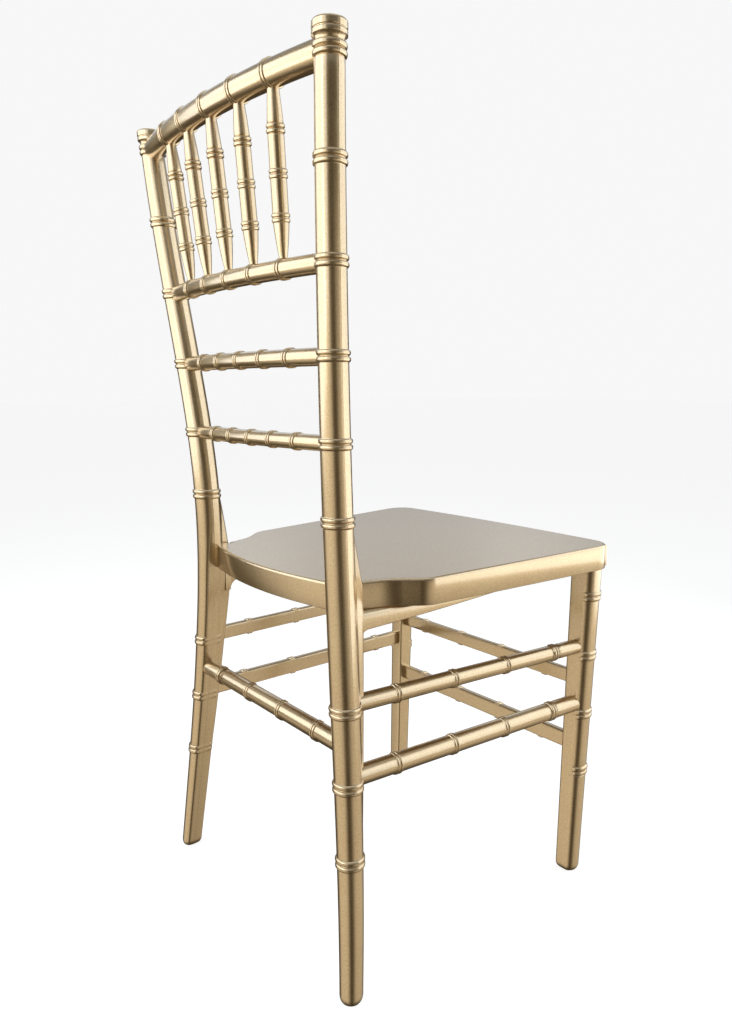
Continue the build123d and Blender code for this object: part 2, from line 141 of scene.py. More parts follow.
# Stretchers as (height, radius), with the inner flat as a share of the radius
SIDE_STRETCHERS = {"upper": (296.0, 9.1), "lower": (223.0, 10.5)}
FRONT_STRETCHERS = {"upper": (252.0, 9.1), "lower": (168.0, 10.5)}
REAR_STRETCHER = (255.0, 10.0)
STRETCHER_FLAT = 0.45
STRETCHER_SOFTNESS = 0.8
STRETCHER_SPACING = 0.235
STRETCHER_NODES = 4

# Seat: height at the rear leg line, tilt, rim, half plan, and the ribs, pads and bosses below
SEAT_Z = 416.0
SEAT_SLOPE = 0.025
SEAT_RIM = 29.0
SEAT_WALL = 4.0
SEAT_EDGE = 3.0
SEAT_EASE = 0.9
SEAT_EASE_MIDDLE = 0.3
SEAT_TOP_LOOPS = (0.8, 2.5)
SEAT_FRONT_HALF = 201.5
SEAT_FRONT_Y = -363.0
SEAT_FRONT_BOW = 7.0
SEAT_BOW_GAP = 3.0
SEAT_CORNER = 28.0
SHOULDER = (174.5, -86.0)
SHOULDER_ROUND = 30.0
HOLLOW = (148.0, -57.0)
HOLLOW_ROUND = 60.0
TAIL = (131.5, -4.0)
TAIL_BOW_Y = 12.4
TAIL_BLOCK_Y = -48.0
RIB_COUNT = 3
RIB_DEPTH = 14.0
PAD_TAIL_Y = -80.0
BOSS_HALF = 15.0
BLOCK_EASE = 1.0
BLOCK_EASE_MIDDLE = 0.3

# Side braces
BRACE_HALF_WIDTH = 136.0
BRACE_HALF_THICKNESS = 7.0
BRACE_SPLAY = 0.10
BRACE_DROP = 31.0
BRACE_FILLET = 12.0
BRACE_BELLY = 1.5
BRACE_TIP_Y = -262.0
BRACE_TIP_HEIGHT = 2.0
BRACE_ROUND = 6.0
BRACE_EDGE = 1.2
BRACE_ROUND_SHARE = 0.45

# How deep members are housed in each other
HOUSING = 7.0
COVER = 1.0
SEAT_SLIT = 0.5
TAIL_TUCK = 2.5
PAD_TUCK = 0.5
BLOCK_TUCK = 0.5

# How fine the meshes are, and the angles in degrees above which their edges stay sharp
TURNED_AROUND = 72
LEG_AROUND = 144
POST_STEP = 10.0
RAIL_STEP = 6.0
SPINDLE_STEP = 2.5
FRONT_STEP = 14.0
STRETCHER_STEP = 10.0
LEAST_STEP = 0.1
RING_MARGIN = 1.15
RING_STATIONS = 47
CAP_STATIONS = 40
CAP_CROWDING = 1.4
TOE_STATIONS = TOE_HEIGHT * np.linspace(0, 1, 13) ** 2
CURVE_POINTS = 400
CORNER_POINTS = 16
BOW_POINTS = 41
EDGE_LOOPS = 9
FILLET_SECTIONS = 12
BRACE_SECTIONS = 40
BRACE_CORNER_POINTS = 8
TURNED_SHARP = 35
SEAT_SHARP = 40

# A direction counts as facing a flat face from this share on, and otherwise the face is out of reach
FACING = 1e-3
OUT_OF_REACH = 1e3


# Mesh helpers
def soft_min(a, b, softness):
    return (a + b - np.sqrt((a - b) ** 2 + softness ** 2)) / 2


def soft_max(a, b, softness):
    return (a + b + np.sqrt((a - b) ** 2 + softness ** 2)) / 2


def angles(around):
    return np.linspace(0, 2 * math.pi, around, endpoint=False)


def face_distance(reach, toward):
    """Distance from the axis to a flat face, along directions that point toward it by the given share."""
    return np.where(toward > FACING, reach / np.maximum(toward, FACING), OUT_OF_REACH)


def beads(places, centres, height, rise):
    """How far the two-bead ring nodes stand out at each place, with a fine groove beside each bead."""
    out = np.zeros_like(places)
    for centre in centres:
        from_centre = np.abs(places - centre)
        from_bead = np.abs(from_centre / (height / 4) - 1)
        out = np.maximum(out, rise * np.clip(1 - from_bead ** BEAD_FULLNESS, 0, 1))
        for edge in (0, height / 2):
            out -= GROOVE_DEPTH * np.exp(-((from_centre - edge) / GROOVE_WIDTH) ** 2)
    return out


def stations(start, end, centres, height, step, extra=()):
    """Places along a member, close together at its ring nodes."""
    shares = np.linspace(-RING_MARGIN, RING_MARGIN, RING_STATIONS)
    fine = [centre + height / 2 * share for centre in centres for share in shares]
    every = np.concatenate(([start, end], np.arange(start, end, step), fine, extra))
    every = np.unique(np.round(every[(every >= start) & (every <= end)], 3))
    keep = [every[0]]
    for place in every[1:]:
        if place - keep[-1] > LEAST_STEP:
            keep.append(place)
    keep[-1] = end
    return np.array(keep)


def make_mesh(name, points, faces):
    mesh = bpy.data.meshes.new(name)
    mesh.from_pydata([tuple(point) for point in points], [], faces)
    piece = bpy.data.objects.new(name, mesh)
    bpy.context.scene.collection.objects.link(piece)
    return piece


def loft(name, rows):
    """A closed piece through rows of points in millimetres, each row a loop, with flat ends."""
    rows = (np.asarray(rows, float) + (0, SHIFT, 0)) * MM
    count, around = rows.shape[:2]
    faces = []
    for row in range(count - 1):
        for here in range(around):
            after = (here + 1) % around
            low, high = row * around, (row + 1) * around
            faces.append((low + here, low + after, high + after, high + here))
    faces.append(tuple(range(around - 1, -1, -1)))
    faces.append(tuple(range((count - 1) * around, count * around)))
    return make_mesh(name, rows.reshape(-1, 3), faces)


def settle(piece, node, sharp=TURNED_SHARP):
    """Outward normals, smooth shading, finish, a place under the root body, and the CAD node that the piece
    stands in for hidden.
    """
    work = bmesh.new()
    work.from_mesh(piece.data)
    bmesh.ops.recalc_face_normals(work, faces=work.faces)
    work.to_mesh(piece.data)
    work.free()
    piece.data.shade_smooth()
    piece.data.set_sharp_from_angle(angle=math.radians(sharp))
    piece.data.materials.append(GOLD)
    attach(piece, "root")
    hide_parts(node)


def mirrored(rows):
    """Rows of the left-hand piece from those of the right-hand one."""
    return np.asarray(rows)[:, ::-1] * (-1, 1, 1)


def both_sides(name, rows, nodes, sharp=TURNED_SHARP):
    """The right-hand piece and its mirror image on the left."""
    right_node, left_node = nodes
    settle(loft(f"{name}_right", rows), right_node, sharp)
    settle(loft(f"{name}_left", mirrored(rows)), left_node, sharp)


def level_row(centre, turn, size):
    """A horizontal loop about a point, as far out in each direction as size says."""
    x, y, z = centre
    return np.stack([x + size * np.cos(turn), y + size * np.sin(turn), np.full(len(turn), z)], 1)


def along_rows(first, last, outward, places, radii, flat=None, around=TURNED_AROUND):
    """Rows of a straight member between two points, round or flat on its inner side."""
    along = (last - first) / np.linalg.norm(last - first)
    side = outward - along * np.dot(outward, along)
    side /= np.linalg.norm(side)
    up = np.cross(along, side)
    turn = angles(around)
    rows = []
    for place, radius in zip(places, radii):
        size = np.full(around, radius)
        if flat:
            size = soft_min(size, face_distance(flat, -np.cos(turn)), STRETCHER_SOFTNESS)
        spokes = (size * np.cos(turn))[:, None] * side + (size * np.sin(turn))[:, None] * up
        rows.append(first + along * place + spokes)
    return rows


# Rear posts
def curve_through(points):
    """Dense points of the smooth cubic through the given points, its ends steered by the nearest four."""
    points = np.array(points, float)
    steps = np.linalg.norm(np.diff(points, axis=0), axis=1)
    at = np.concatenate(([0], np.cumsum(steps)))
    count = len(at)
    left = np.zeros((count, count))
    right = np.zeros((count, 3))
    left[0, 0] = left[-1, -1] = 1
    for axis in range(3):
        right[0, axis] = np.polyval(np.polyder(np.polyfit(at[:4], points[:4, axis], 3)), at[0])
        right[-1, axis] = np.polyval(np.polyder(np.polyfit(at[-4:], points[-4:, axis], 3)), at[-1])
    for i in range(1, count - 1):
        before, after = steps[i - 1], steps[i]
        left[i, i - 1:i + 2] = 1 / before, 2 / before + 2 / after, 1 / after
        right[i] = 3 * ((points[i] - points[i - 1]) / before ** 2 + (points[i + 1] - points[i]) / after ** 2)
    slopes = np.linalg.solve(left, right)
    share = np.linspace(0, 1, CURVE_POINTS)[:, None]
    runs = []
    for i in range(count - 1):
        leave, arrive = steps[i] * slopes[i], steps[i] * slopes[i + 1]
        runs.append((1 + 2 * share) * (1 - share) ** 2 * points[i] + share * (1 - share) ** 2 * leave
                    + share ** 2 * (3 - 2 * share) * points[i + 1] + share ** 2 * (share - 1) * arrive)
    return np.concatenate(runs)


POST_CURVE = curve_through(POST_POINTS)


def post_point(z):
    x = np.interp(z, POST_CURVE[:, 2], POST_CURVE[:, 0])
    return np.array([x, np.interp(z, POST_CURVE[:, 2], POST_CURVE[:, 1]), z])


def post_radius(z):
    return np.interp(z, (0, KNEE_Z, WAIST_Z, HEIGHT), (FOOT_RADIUS, KNEE_RADIUS, WAIST_RADIUS, TOP_RADIUS))


def under_seat(y):
    return SEAT_Z - SEAT_RIM - SEAT_SLOPE * y


def web_reach(z):
    """How far the squared front of the rear leg stands forward of the axis."""
    heights = 0, LOW_RING_Z, KNEE_Z, under_seat(0), SEAT_Z, WAIST_Z, WEB_TOP_Z
    reaches = (WEB_FOOT_REACH, WEB_SHIN_REACH, WEB_KNEE_REACH, WEB_SEAT_REACH, WEB_SEAT_REACH,
               WEB_WAIST_REACH, WEB_TOP_SHARE * WAIST_RADIUS)
    return np.interp(z, heights, reaches)


def toe(z, radius):
    """Radius with the rounded toe at the floor."""
    drop = max(0.0, 1 - z / TOE_HEIGHT)
    return radius - TOE_ROUND * (1 - math.sqrt(1 - drop ** 2))


def finial_radius(z):
    """Radius of the post's cap: neck hollow, drum with a groove, rounded top edge."""
    depth = HEIGHT - z
    if depth > FINIAL_DRUM:
        share = (FINIAL_NECK - depth) / (FINIAL_NECK - FINIAL_DRUM)
        neck = TOP_RADIUS - NECK_HOLLOW
        return neck + (FINIAL_RADIUS - neck) * share ** FINIAL_FLARE
    if depth > FINIAL_EDGE:
        groove = math.exp(-((depth - FINIAL_GROOVE) / FINIAL_GROOVE_WIDTH) ** 2)
        return FINIAL_RADIUS - FINIAL_GROOVE_DEPTH * groove
    return FINIAL_RADIUS - FINIAL_EDGE * (1 - math.sqrt(1 - (1 - depth / FINIAL_EDGE) ** 2))


def web_outline(z, plain, turn):
    """Reach of the rear leg's forward web in each direction."""
    reach = web_reach(z) - (post_radius(z) - plain)
    half = plain * np.interp(z, (WAIST_Z, WEB_TOP_Z), (FLAT_SHARE, WEB_TOP_SHARE))
    outer_edge = np.interp(z, (0, KNEE_Z, WAIST_Z), (WEB_FOOT_EDGE, WEB_KNEE_EDGE, WEB_FIN_EDGE))
    inner_edge = np.interp(z, (SEAT_Z - FIN_STEP, SEAT_Z), (half, WEB_FIN_EDGE))
    corner = np.interp(z, (0, KNEE_Z, SEAT_Z), (WEB_FIN_EDGE, WEB_CORNER, WEB_FIN_EDGE))
    web = face_distance(reach, -np.sin(turn))
    for way, edge, softness in ((1, inner_edge, corner), (-1, outer_edge, WEB_FIN_EDGE)):
        slope = math.hypot(reach, half - edge)
        toward = (way * reach * np.cos(turn) + (edge - half) * np.sin(turn)) / slope
        web = soft_min(web, face_distance(reach * half / slope, toward), softness)
    return np.where(np.sin(turn) < 0, web, 0)


def post_rings():
    leg = [KNEE_Z - LEG_RING_PITCH * number for number in range(LEG_RINGS)]
    back = [LOWER_RAIL_Z, MIDDLE_RAIL_Z, SPINDLE_RAIL_Z, (SPINDLE_RAIL_Z + CREST_Z) / 2]
    return leg + [WAIST_Z] + back + [COLLAR_Z]


def post_rows(around=LEG_AROUND):
    """The right rear post: bent and ringed, flat inside and webbed forward below, capped above."""
    turn = angles(around)
    seam = SEAM * np.isclose(np.sin(turn), 0)
    cap = HEIGHT - FINIAL_NECK * np.linspace(0, 1, CAP_STATIONS) ** CAP_CROWDING
    fin = SEAT_Z - FIN_STEP, SEAT_Z
    extra = np.concatenate((cap, TOE_STATIONS, fin))
    heights = stations(0, HEIGHT, post_rings(), RING_HEIGHT, POST_STEP, extra)
    rises = beads(heights, post_rings(), RING_HEIGHT, RING_RISE)
    rows = []
    for z, rise in zip(heights, rises):
        plain = toe(z, post_radius(z))
        radius = finial_radius(z) if z > HEIGHT - FINIAL_NECK else plain + rise
        size = np.full(around, radius)
        if z < WEB_TOP_Z:
            size = soft_max(size, web_outline(z, plain, turn), WEB_SOFTNESS)
        if z < WAIST_Z:
            flat = plain * np.interp(z, (under_seat(0), WAIST_Z), (FLAT_SHARE, FLAT_FADE_SHARE))
            size = soft_min(size, face_distance(flat, np.cos(turn)), FLAT_SOFTNESS)
        rows.append(level_row(post_point(z), turn, size + seam))
    return rows


# Back rails and spindles
def rail_point(rail, x):
    z, _, bow = rail
    end = post_point(z)
    return np.array([x, end[1] + bow * (1 - (x / end[0]) ** 2), z])


def node_x(rail, number):
    return -post_point(rail[0])[0] * NODE_SPACING * (number - (NODES - 1) / 2)


def rail_rows(rail, around=TURNED_AROUND):
    """A bowed rail with its ring nodes, its ends covered by the posts."""
    z, radius, _ = rail
    covered = math.sqrt(post_radius(z) ** 2 - radius ** 2) - COVER
    end = -post_point(z)[0] - min(post_radius(z) - HOUSING, covered)
    centres = [node_x(rail, number) for number in range(NODES)]
    places = stations(-end, end, centres, RAIL_RING_HEIGHT, RAIL_STEP)
    sizes = radius + beads(places, centres, RAIL_RING_HEIGHT, RAIL_RING_RISE)
    turn = angles(around)
    rows = []
    for x, size in zip(places, sizes):
        centre = rail_point(rail, x)
        y, height = centre[1] + size * np.cos(turn), z + size * np.sin(turn)
        rows.append(np.stack([np.full(around, x), y, height], 1))
    return rows


def spindle_rows(number):
    """A turned spindle: a fine foot, a fuller top and three ring nodes."""
    lower, upper = RAILS["spindle_rail"], RAILS["crest_rail"]
    low, high = rail_point(lower, node_x(lower, number)), rail_point(upper, node_x(upper, number))
    along = (high - low) / np.linalg.norm(high - low)
    low, high = low + along * (lower[1] - HOUSING), high - along * (upper[1] - HOUSING)
    length = np.linalg.norm(high - low)
    centres = [length * share for share in SPINDLE_RINGS]
    places = stations(0, length, centres, SPINDLE_RING_HEIGHT, SPINDLE_STEP)
    below = np.clip((places - HOUSING) / (centres[0] - HOUSING), 0, 1)
    above = np.clip((length - HOUSING - places) / (length - HOUSING - centres[-1]), 0, 1)
    radii = SPINDLE_RADIUS - (SPINDLE_RADIUS - SPINDLE_FOOT_RADIUS) * (1 - below) ** SPINDLE_FOOT_CURVE
    radii -= (SPINDLE_RADIUS - SPINDLE_TOP_RADIUS) * (1 - above) ** SPINDLE_TOP_CURVE
    radii += beads(places, centres, SPINDLE_RING_HEIGHT, SPINDLE_RING_RISE)
    return along_rows(low, high, np.array([1.0, 0, 0]), places, radii)


# Front legs
def front_share(z):
    return z / under_seat(FRONT_TOP[1])


def front_point(z):
    floor, top = np.array(FRONT_FLOOR), np.array(FRONT_TOP)
    return np.append(floor + (top - floor) * front_share(z), z)


def front_radius(z):
    return FRONT_FLOOR_RADIUS + (FRONT_TOP_RADIUS - FRONT_FLOOR_RADIUS) * front_share(z)


def front_rows(around=LEG_AROUND):
    """The right front leg: round and ringed outside, flat inside and behind, with a filled inner corner."""
    turn = angles(around)
    centres = [FRONT_RING_Z - FRONT_RING_PITCH * number for number in range(FRONT_RINGS)]
    top = under_seat(FRONT_TOP[1]) + COVER
    heights = stations(0, top, centres, RING_HEIGHT, FRONT_STEP, TOE_STATIONS)
    rows = []
    for z, rise in zip(heights, beads(heights, centres, RING_HEIGHT, RING_RISE)):
        plain = toe(z, front_radius(z))
        flat = FRONT_FLAT_SHARE * plain
        inside = (np.cos(turn) > 0) & (np.sin(turn) > 0)
        corner = np.where(inside, face_distance(2 * flat - FRONT_CHAMFER, np.cos(turn) + np.sin(turn)), 0)
        size = np.maximum(np.full(around, plain + rise), corner)
        for toward in (np.cos(turn), np.sin(turn)):
            size = soft_min(size, face_distance(flat, toward), FRONT_SOFTNESS)
        rows.append(level_row(front_point(z), turn, size))
    return rows


# Stretchers
def stretcher_rows(first, last, insets, radius, outward):
    """A ringed stretcher between two members' axes, set in from each, flat on its inner side."""
    along = (last - first) / np.linalg.norm(last - first)
    first, last = first + along * insets[0], last - along * insets[1]
    length = np.linalg.norm(last - first)
    middle = (STRETCHER_NODES - 1) / 2
    centres = [length * (0.5 + STRETCHER_SPACING * (number - middle)) for number in range(STRETCHER_NODES)]
    places = stations(0, length, centres, RAIL_RING_HEIGHT, STRETCHER_STEP)
    radii = radius + beads(places, centres, RAIL_RING_HEIGHT, RAIL_RING_RISE)
    return along_rows(first, last, outward, places, radii, STRETCHER_FLAT * radius)


def other_side(point):
    return point * (-1, 1, 1)


# Seat
def rounded(points, radii, count=CORNER_POINTS):
    """A polygon with some of its corners rounded."""
    out = []
    for i, (point, radius) in enumerate(zip(points, radii)):
        if radius == 0:
            out.append(np.array(point, float))
            continue
        before = np.subtract(points[i - 1], point)
        after = np.subtract(points[(i + 1) % len(points)], point)
        before, after = before / np.linalg.norm(before), after / np.linalg.norm(after)
        half = math.acos(np.clip(np.dot(before, after), -1, 1)) / 2
        centre = point + (before + after) / np.linalg.norm(before + after) * radius / math.sin(half)
        first = point + before * radius / math.tan(half) - centre
        last = point + after * radius / math.tan(half) - centre
        start = math.atan2(first[1], first[0])
        sweep = (math.atan2(last[1], last[0]) - start + math.pi) % (2 * math.pi) - math.pi
        for turn in np.linspace(start, start + sweep, count):
            out.append(centre + radius * np.array([math.cos(turn), math.sin(turn)]))
    return np.array(out)


def bow(half, end_y, middle_y, reach):
    """Points of a bowed edge, from right to left, out to the given reach."""
    across = np.linspace(reach, -reach, BOW_POINTS)
    return [(x, middle_y + (end_y - middle_y) * (x / half) ** 2) for x in across]


def seat_loop():
    """Plan of the seat: bowed ends, scooped shoulders, and room for the posts in its rear corners."""
    post = post_point(SEAT_Z)
    notch_y = post[1] - web_reach(SEAT_Z) - SEAT_SLIT
    notch_x = -post[0] - FLAT_SHARE * WAIST_RADIUS + TAIL_TUCK
    side_x = np.interp(notch_y, (HOLLOW[1], TAIL[1]), (HOLLOW[0], TAIL[0]))
    back = bow(TAIL[0], TAIL[1], TAIL_BOW_Y, notch_x)
    front_reach = SEAT_FRONT_HALF - SEAT_CORNER - SEAT_BOW_GAP
    front = bow(SEAT_FRONT_HALF, SEAT_FRONT_Y, SEAT_FRONT_Y - SEAT_FRONT_BOW, front_reach)
    half = [(SEAT_FRONT_HALF, SEAT_FRONT_Y), SHOULDER, HOLLOW, (side_x, notch_y), (notch_x, notch_y)]
    half_radii = [SEAT_CORNER, SHOULDER_ROUND, HOLLOW_ROUND, 0, 0]
    points = half + back + [(-x, y) for x, y in reversed(half)] + front[::-1]
    radii = half_radii + [0] * len(back) + half_radii[::-1] + [0] * len(front)
    return rounded(points, radii)


def inset_loop(loop, distance):
    """An anticlockwise loop moved inward along its own normals."""
    before, after = loop - np.roll(loop, 1, axis=0), np.roll(loop, -1, axis=0) - loop
    before /= np.linalg.norm(before, axis=1)[:, None]
    after /= np.linalg.norm(after, axis=1)[:, None]
    normal = np.stack([-before[:, 1], before[:, 0]], 1)
    middle = normal + np.stack([-after[:, 1], after[:, 0]], 1)
    middle /= np.linalg.norm(middle, axis=1)[:, None]
    share = np.clip(np.sum(middle * normal, axis=1), 0.5, 1)
    return loop + middle * (distance / share)[:, None]


def tilt(points):
    """Points of the level seat, moved to the tilted one."""
    angle = -math.atan(SEAT_SLOPE)
    x, y, z = np.moveaxis(np.asarray(points, float), -1, 0)
    low, high = y * math.cos(angle) - z * math.sin(angle), y * math.sin(angle) + z * math.cos(angle)
    return np.stack([x, low, high + SEAT_Z], -1)


def hollow_loop(loop):
    """The inner wall's plan: the seat's plan moved inward and cut off straight in front of the solid tail."""
    inner = inset_loop(loop, SEAT_WALL)
    tail = np.flatnonzero(inner[:, 1] > TAIL_BLOCK_Y)
    ends = inner[tail[0], 0], inner[tail[-1], 0]
    inner[tail] = np.stack([np.linspace(*ends, len(tail)), np.full(len(tail), TAIL_BLOCK_Y)], 1)
    return inner


def seat_rows():
    """The moulded pan: hollow below, straight rim, rounded top edge."""
    loop = seat_loop()
    hollow = hollow_loop(loop)
    loops = [(hollow, -SEAT_WALL), (hollow, -SEAT_RIM)]
    for distance, rise in ((SEAT_EASE, 0), (SEAT_EASE_MIDDLE, SEAT_EASE_MIDDLE), (0, SEAT_EASE)):
        loops.append((inset_loop(loop, distance), rise - SEAT_RIM))
    for turn in np.linspace(0, math.pi / 2, EDGE_LOOPS):
        distance = SEAT_EDGE * (1 - math.cos(turn))
        loops.append((inset_loop(loop, distance), SEAT_EDGE * (math.sin(turn) - 1)))
    for distance in SEAT_TOP_LOOPS:
        loops.append((inset_loop(loop, SEAT_EDGE + distance), 0))
    return [tilt(np.column_stack([flat, np.full(len(flat), z)])) for flat, z in loops]


def rectangle(x, y):
    """An anticlockwise loop from the limits across and along the seat."""
    return np.array([(x[0], y[0]), (x[1], y[0]), (x[1], y[1]), (x[0], y[1])])


def block_rows(plan, depth):
    """An upright block under the seat, from an anticlockwise plan down to its eased lower edges."""
    eased = (0, BLOCK_EASE), (BLOCK_EASE_MIDDLE, BLOCK_EASE_MIDDLE), (BLOCK_EASE, 0)
    rows = []
    for inset, z in [(0, BLOCK_TUCK - SEAT_WALL)] + [(inset, rise - depth) for inset, rise in eased]:
        flat = inset_loop(plan, inset)
        rows.append(tilt(np.column_stack([flat, np.full(len(flat), z)])))
    return rows


def rib_rows(number):
    """One of the cross ribs under the seat."""
    y = TAIL_BLOCK_Y + (SEAT_FRONT_Y - TAIL_BLOCK_Y) * number / (RIB_COUNT + 1)
    side = np.interp(y, (SEAT_FRONT_Y, SHOULDER[1]), (SEAT_FRONT_HALF, SHOULDER[0])) - SEAT_WALL / 2
    return block_rows(rectangle((-side, side), (y - SEAT_WALL / 2, y + SEAT_WALL / 2)), RIB_DEPTH)


def pad_rows():
    """The seat's long rib that sits on the right brace."""
    ends = np.array([BRACE_TIP_Y, PAD_TAIL_Y])
    middle = BRACE_SPLAY * ends - BRACE_HALF_WIDTH
    near, far = middle - BRACE_HALF_THICKNESS, middle + BRACE_HALF_THICKNESS
    plan = np.array([(near[0], ends[0]), (far[0], ends[0]), (far[1], ends[1]), (near[1], ends[1])])
    return block_rows(plan, SEAT_RIM + PAD_TUCK)


# Side braces
def brace_low(y, face):
    """Height of the right brace's lower edge: curved off the post, then rising to the tip."""
    low = under_seat(0) - BRACE_DROP
    knee = face - BRACE_FILLET
    if y > knee:
        return low + math.sqrt(max(0.0, BRACE_FILLET ** 2 - (min(y, face) - knee) ** 2))
    share = (y - knee) / (BRACE_TIP_Y - knee)
    tip = under_seat(BRACE_TIP_Y) - BRACE_TIP_HEIGHT
    return low + BRACE_FILLET + (tip - low - BRACE_FILLET) * share - 4 * BRACE_BELLY * share * (1 - share)


def brace_rows():
    """The right brace as upright sections from the post to the tip, soft along its upper outer edge."""
    face = post_point(under_seat(0))[1] - web_reach(under_seat(0)) + WEB_CORNER / 2
    curve = face - BRACE_FILLET + BRACE_FILLET * np.cos(np.linspace(0, math.pi / 2, FILLET_SECTIONS))
    run = np.linspace(face - BRACE_FILLET, BRACE_TIP_Y, BRACE_SECTIONS)[1:]
    turn = math.atan(BRACE_SPLAY)
    half = BRACE_HALF_THICKNESS
    rows = []
    for y in np.concatenate(([face + HOUSING], curve, run)):
        low, high = brace_low(y, face), under_seat(y)
        corners = [(-half, low), (half, low), (half, high), (-half, high)]
        room = (high - low) * BRACE_ROUND_SHARE
        radii = [min(radius, room) for radius in (BRACE_EDGE, BRACE_EDGE, BRACE_EDGE, BRACE_ROUND)]
        section = rounded(corners, radii, BRACE_CORNER_POINTS)
        x = section[:, 0] * math.cos(turn) + y * math.sin(turn) - BRACE_HALF_WIDTH
        rows.append(np.column_stack([x, y * math.cos(turn) - section[:, 0] * math.sin(turn), section[:, 1]]))
    return rows


# Finish: the gold between flakes, the brightest flakes, and the roughness from glossy to dull clouds
DEEP_GOLD = (0.55, 0.395, 0.2, 1)
BRIGHT_GOLD = (0.73, 0.55, 0.315, 1)
ROUGHNESS = (0.26, 0.33)
FLAKE_SCALE = 1500
CLOUD_SCALE = 22
GRAIN_SCALE = 650
MOTTLING = 0.1
GRAIN_STRENGTH = 0.045
GRAIN_DEPTH = 0.0004


def gold_resin():
    """Champagne-gold metallic resin: fine flake, faint mottling and a clear coat."""
    material = bpy.data.materials.new("gold_resin")
    material.use_nodes = True
    nodes, links = material.node_tree.nodes, material.node_tree.links
    shader = nodes["Principled BSDF"]
    place = nodes.new("ShaderNodeTexCoord")
    flake = nodes.new("ShaderNodeTexVoronoi")
    flake.inputs["Scale"].default_value = FLAKE_SCALE
    cloud = nodes.new("ShaderNodeTexNoise")
    cloud.inputs["Scale"].default_value = CLOUD_SCALE
    cloud.inputs["Detail"].default_value = 4
    grain = nodes.new("ShaderNodeTexNoise")
    grain.inputs["Scale"].default_value = GRAIN_SCALE
    grain.inputs["Detail"].default_value = 3
    for texture in (flake, cloud, grain):
        links.new(place.outputs["Object"], texture.inputs["Vector"])
    sparkle = nodes.new("ShaderNodeSeparateColor")
    links.new(flake.outputs["Color"], sparkle.inputs["Color"])
    tones = nodes.new("ShaderNodeValToRGB")
    tones.color_ramp.elements[0].color = DEEP_GOLD
    tones.color_ramp.elements[1].color = BRIGHT_GOLD
    links.new(sparkle.outputs["Red"], tones.inputs["Fac"])
    mottle = nodes.new("ShaderNodeMix")
    mottle.data_type = "RGBA"
    mottle.blend_type = "OVERLAY"
    mottle.inputs["Factor"].default_value = MOTTLING
    links.new(tones.outputs["Color"], mottle.inputs["A"])
    links.new(cloud.outputs["Fac"], mottle.inputs["B"])
    links.new(mottle.outputs["Result"], shader.inputs["Base Color"])
    rough = nodes.new("ShaderNodeMapRange")
    rough.inputs["To Min"].default_value = ROUGHNESS[0]
    rough.inputs["To Max"].default_value = ROUGHNESS[1]
    links.new(cloud.outputs["Fac"], rough.inputs["Value"])
    links.new(rough.outputs["Result"], shader.inputs["Roughness"])
    bump = nodes.new("ShaderNodeBump")
    bump.inputs["Strength"].default_value = GRAIN_STRENGTH
    bump.inputs["Distance"].default_value = GRAIN_DEPTH
    links.new(grain.outputs["Fac"], bump.inputs["Height"])
    links.new(bump.outputs["Normal"], shader.inputs["Normal"])
    shader.inputs["Metallic"].default_value = 0.95
    shader.inputs["Coat Weight"].default_value = 1
    shader.inputs["Coat IOR"].default_value = 2
    shader.inputs["Coat Roughness"].default_value = 0.13
    return material


GOLD = gold_resin()

# Pieces
both_sides("post", post_rows(), ("right_rear_post", "left_rear_post"))
for node, rail in RAILS.items():
    settle(loft(f"{node}_turned", rail_rows(rail)), node)
for number in range(NODES):
    settle(loft(f"spindle_turned_{number + 1}", spindle_rows(number)), f"spindle_{number + 1}")
both_sides("front_leg", front_rows(), ("right_front_leg", "left_front_leg"))

OUTWARD = np.array([-1.0, 0, 0])
BACKWARD = np.array([0, 1.0, 0])
for tier, (bar_z, bar_radius) in SIDE_STRETCHERS.items():
    insets = web_reach(bar_z) - HOUSING, FRONT_FLAT_SHARE * front_radius(bar_z) - HOUSING
    bar = stretcher_rows(post_point(bar_z), front_point(bar_z), insets, bar_radius, OUTWARD)
    both_sides(f"side_bar_{tier}", bar, (f"right_{tier}_side_stretcher", f"left_{tier}_side_stretcher"))
for tier, (bar_z, bar_radius) in FRONT_STRETCHERS.items():
    insets = (FRONT_FLAT_SHARE * front_radius(bar_z) - HOUSING,) * 2
    bar = stretcher_rows(front_point(bar_z), other_side(front_point(bar_z)), insets, bar_radius, -BACKWARD)
    settle(loft(f"front_bar_{tier}", bar), f"front_{tier}_stretcher")
bar_z, bar_radius = REAR_STRETCHER
insets = (FLAT_SHARE * post_radius(bar_z) - HOUSING,) * 2
bar = stretcher_rows(post_point(bar_z), other_side(post_point(bar_z)), insets, bar_radius, BACKWARD)
settle(loft("rear_bar", bar), "rear_stretcher")

settle(loft("seat_pan", seat_rows()), "seat", SEAT_SHARP)
for number in range(1, RIB_COUNT + 1):
    settle(loft(f"seat_rib_{number}", rib_rows(number)), "seat", SEAT_SHARP)
boss_x, boss_y = ((place - BOSS_HALF, place + BOSS_HALF) for place in FRONT_TOP)
both_sides("seat_boss", block_rows(rectangle(boss_x, boss_y), SEAT_RIM), ("seat", "seat"), SEAT_SHARP)
both_sides("seat_pad", pad_rows(), ("seat", "seat"), SEAT_SHARP)
both_sides("brace", brace_rows(), ("right_side_brace", "left_side_brace"))

